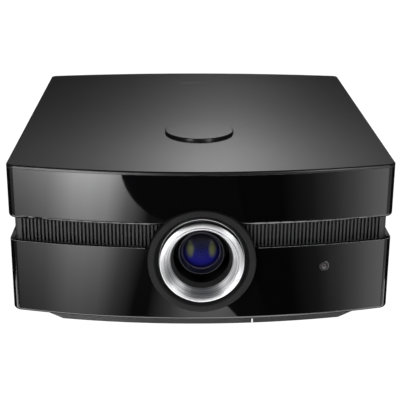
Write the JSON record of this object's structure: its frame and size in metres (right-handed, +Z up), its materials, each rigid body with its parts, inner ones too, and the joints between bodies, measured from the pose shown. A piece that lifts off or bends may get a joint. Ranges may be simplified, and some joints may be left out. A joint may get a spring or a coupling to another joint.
{
  "type": "home cinema projector",
  "caption": "Low black casing with bowed front, ribbed waist band, central shiftable lens in a bright ring, round lid over shift knobs, side keys and screw feet.",
  "frame": {"origin": "middle of the floor under the feet, at the centre of the overall footprint", "axes": "+Z up, the lens looks along -Y, +X to the right seen from the front"},
  "size_m": [0.3724, 0.4388, 0.1636],
  "materials": {
    "cover": "satin painted plastic",
    "gloss_panel": "piano-black lacquer",
    "lower_case": "fine moulded texture",
    "ribs": "satin moulded plastic",
    "bezel": "satin moulded plastic",
    "bright_ring": "turned, bright",
    "tunnel": "anti-reflection black",
    "barrel": "satin black anodised",
    "lens_glass": "coated optical glass",
    "grip": "fluted rubber",
    "light_pipe": "white translucent plastic",
    "window": "infra-red acrylic",
    "steel": "ground steel",
    "zinc": "zinc-plated sheet",
    "cast": "as-cast",
    "brass": "turned brass",
    "board": "solder-masked laminate",
    "inner_black": "moulded plastic",
    "clear_glass": "clear glass",
    "mirror_coat": "dichroic reflector",
    "foot_rubber": "moulded rubber",
    "key_cap": "satin plastic"
  },
  "bodies": {
    "casing": {"top_cover": "cover", "upper_fascia": "gloss_panel", "lower_fascia": "gloss_panel", "bottom_case": "lower_case", "base_plate": "lower_case", "status_light_pipe": "light_pipe", "lamp_door": "lower_case", "waist_grille": "ribs", "waist_band": "ribs", "lens_bezel": "bezel", "lens_ring": "bright_ring", "lens_tunnel": "tunnel", "shift_frame": "zinc", "shift_rods": "steel", "knob_well": "inner_black", "engine_housing": "cast", "chip_board": "board", "chip_heat_sink": "cast", "light_tunnel": "cast", "colour_wheel_motor": "zinc", "lamp_housing": "inner_black", "lamp_reflector": "mirror_coat", "lamp_burner": "clear_glass", "fan_frames": "inner_black", "blower_housing": "inner_black", "main_board": "board", "power_board": "board", "lamp_ballast": "zinc", "connector_bay": "lower_case", "signal_sockets": "steel", "mains_inlet": "inner_black", "sensor_window": "window", "status_window": "window", "keypad_board": "board", "rear_feet": "foot_rubber", "mount_inserts": "brass", "case_screws": "steel"},
    "vertical_carriage": {"vertical_carriage": "cast", "carriage_rods": "steel"},
    "lens_carriage": {"horizontal_carriage": "cast", "lens_barrel": "barrel", "front_element": "lens_glass"},
    "focus_ring": {"focus_ring": "grip"},
    "zoom_ring": {"zoom_ring": "grip"},
    "shift_screw": {"shift_screw": "inner_black"},
    "shift_pinion": {"shift_pinion": "inner_black"},
    "shift_lid": {"shift_lid": "cover"},
    "foot_pad_left": {"foot_pad_left": "foot_rubber"},
    "foot_screw_left": {"foot_screw_left": "inner_black"},
    "foot_pad_right": {"foot_pad_right": "foot_rubber"},
    "foot_screw_right": {"foot_screw_right": "inner_black"},
    "power_rocker": {"power_rocker": "key_cap"},
    "colour_wheel": {"colour_wheel": "clear_glass"},
    "exhaust_fan_rotor": {"exhaust_fan_rotor": "inner_black"},
    "intake_fan_rotor": {"intake_fan_rotor": "inner_black"},
    "blower_rotor": {"blower_rotor": "inner_black"},
    "key_1": {"key_1": "key_cap"},
    "key_2": {"key_2": "key_cap"},
    "key_3": {"key_3": "key_cap"},
    "key_4": {"key_4": "key_cap"}
  },
  "joints": [
    {"name": "lens_shift_vertical", "type": "slide", "parent": "casing", "child": "vertical_carriage", "axis": [0, 0, 1], "range_m": [-0.006, 0.006]},
    {"name": "lens_shift_horizontal", "type": "slide", "parent": "vertical_carriage", "child": "lens_carriage", "axis": [1, 0, 0], "range_m": [-0.0035, 0.0035]},
    {"name": "focus_turn", "type": "hinge", "parent": "lens_carriage", "child": "focus_ring", "pos_m": [0, -0.172, 0.0725], "axis": [0, 1, 0], "range_deg": [-60, 60]},
    {"name": "zoom_turn", "type": "hinge", "parent": "lens_carriage", "child": "zoom_ring", "pos_m": [0, -0.1535, 0.0725], "axis": [0, 1, 0], "range_deg": [-35, 35]},
    {"name": "vertical_knob_turn", "type": "hinge", "parent": "casing", "child": "shift_screw", "pos_m": [-0.0145, -0.0725, 0.148], "axis": [0, 0, 1], "range_deg": [-725, 725]},
    {"name": "horizontal_knob_turn", "type": "hinge", "parent": "casing", "child": "shift_pinion", "pos_m": [0.0145, -0.0725, 0.148], "axis": [0, 0, 1], "range_deg": [-34, 34]},
    {"name": "lid_lift_off", "type": "slide", "parent": "casing", "child": "shift_lid", "axis": [0, 0, 1], "range_m": [0, 0.03]},
    {"name": "foot_left_extend", "type": "slide", "parent": "casing", "child": "foot_pad_left", "axis": [0, 0, -1], "range_m": [0, 0.015]},
    {"name": "foot_left_turn", "type": "hinge", "parent": "foot_pad_left", "child": "foot_screw_left", "pos_m": [-0.15, -0.13, 0.007], "axis": [0, 0, -1], "range_deg": [0, 1805]},
    {"name": "foot_right_extend", "type": "slide", "parent": "casing", "child": "foot_pad_right", "axis": [0, 0, -1], "range_m": [0, 0.015]},
    {"name": "foot_right_turn", "type": "hinge", "parent": "foot_pad_right", "child": "foot_screw_right", "pos_m": [0.15, -0.13, 0.007], "axis": [0, 0, -1], "range_deg": [0, 1805]},
    {"name": "key_1_press", "type": "slide", "parent": "casing", "child": "key_1", "axis": [1, 0, 0], "range_m": [0, 0.0008], "stiffness_N_per_m": 1500},
    {"name": "key_2_press", "type": "slide", "parent": "casing", "child": "key_2", "axis": [1, 0, 0], "range_m": [0, 0.0008], "stiffness_N_per_m": 1500},
    {"name": "key_3_press", "type": "slide", "parent": "casing", "child": "key_3", "axis": [1, 0, 0], "range_m": [0, 0.0008], "stiffness_N_per_m": 1500},
    {"name": "key_4_press", "type": "slide", "parent": "casing", "child": "key_4", "axis": [1, 0, 0], "range_m": [0, 0.0008], "stiffness_N_per_m": 1500},
    {"name": "rocker_tip", "type": "hinge", "parent": "casing", "child": "power_rocker", "pos_m": [0.02, 0.1895, 0.063], "axis": [-1, 0, 0], "range_deg": [0, 16]},
    {"name": "colour_wheel_spin", "type": "hinge", "parent": "casing", "child": "colour_wheel", "pos_m": [0.072, 0.0305, 0.055], "axis": [0, 1, 0], "continuous": true},
    {"name": "exhaust_fan_spin", "type": "hinge", "parent": "casing", "child": "exhaust_fan_rotor", "pos_m": [0.09, 0.184, 0.07], "axis": [0, 1, 0], "continuous": true},
    {"name": "intake_fan_spin", "type": "hinge", "parent": "casing", "child": "intake_fan_rotor", "pos_m": [-0.098, -0.02, 0.027], "axis": [0, 0, 1], "continuous": true},
    {"name": "blower_spin", "type": "hinge", "parent": "casing", "child": "blower_rotor", "pos_m": [0.154, 0.1, 0.026], "axis": [0, 0, 1], "continuous": true}
  ],
  "couplings": [
    {"joint": "vertical_knob_turn", "follows": "lens_shift_vertical", "rad_per_m": -2094.4},
    {"joint": "horizontal_knob_turn", "follows": "lens_shift_horizontal", "rad_per_m": 166.67},
    {"joint": "foot_left_turn", "follows": "foot_left_extend", "rad_per_m": 2094.4},
    {"joint": "foot_right_turn", "follows": "foot_right_extend", "rad_per_m": 2094.4}
  ]
}
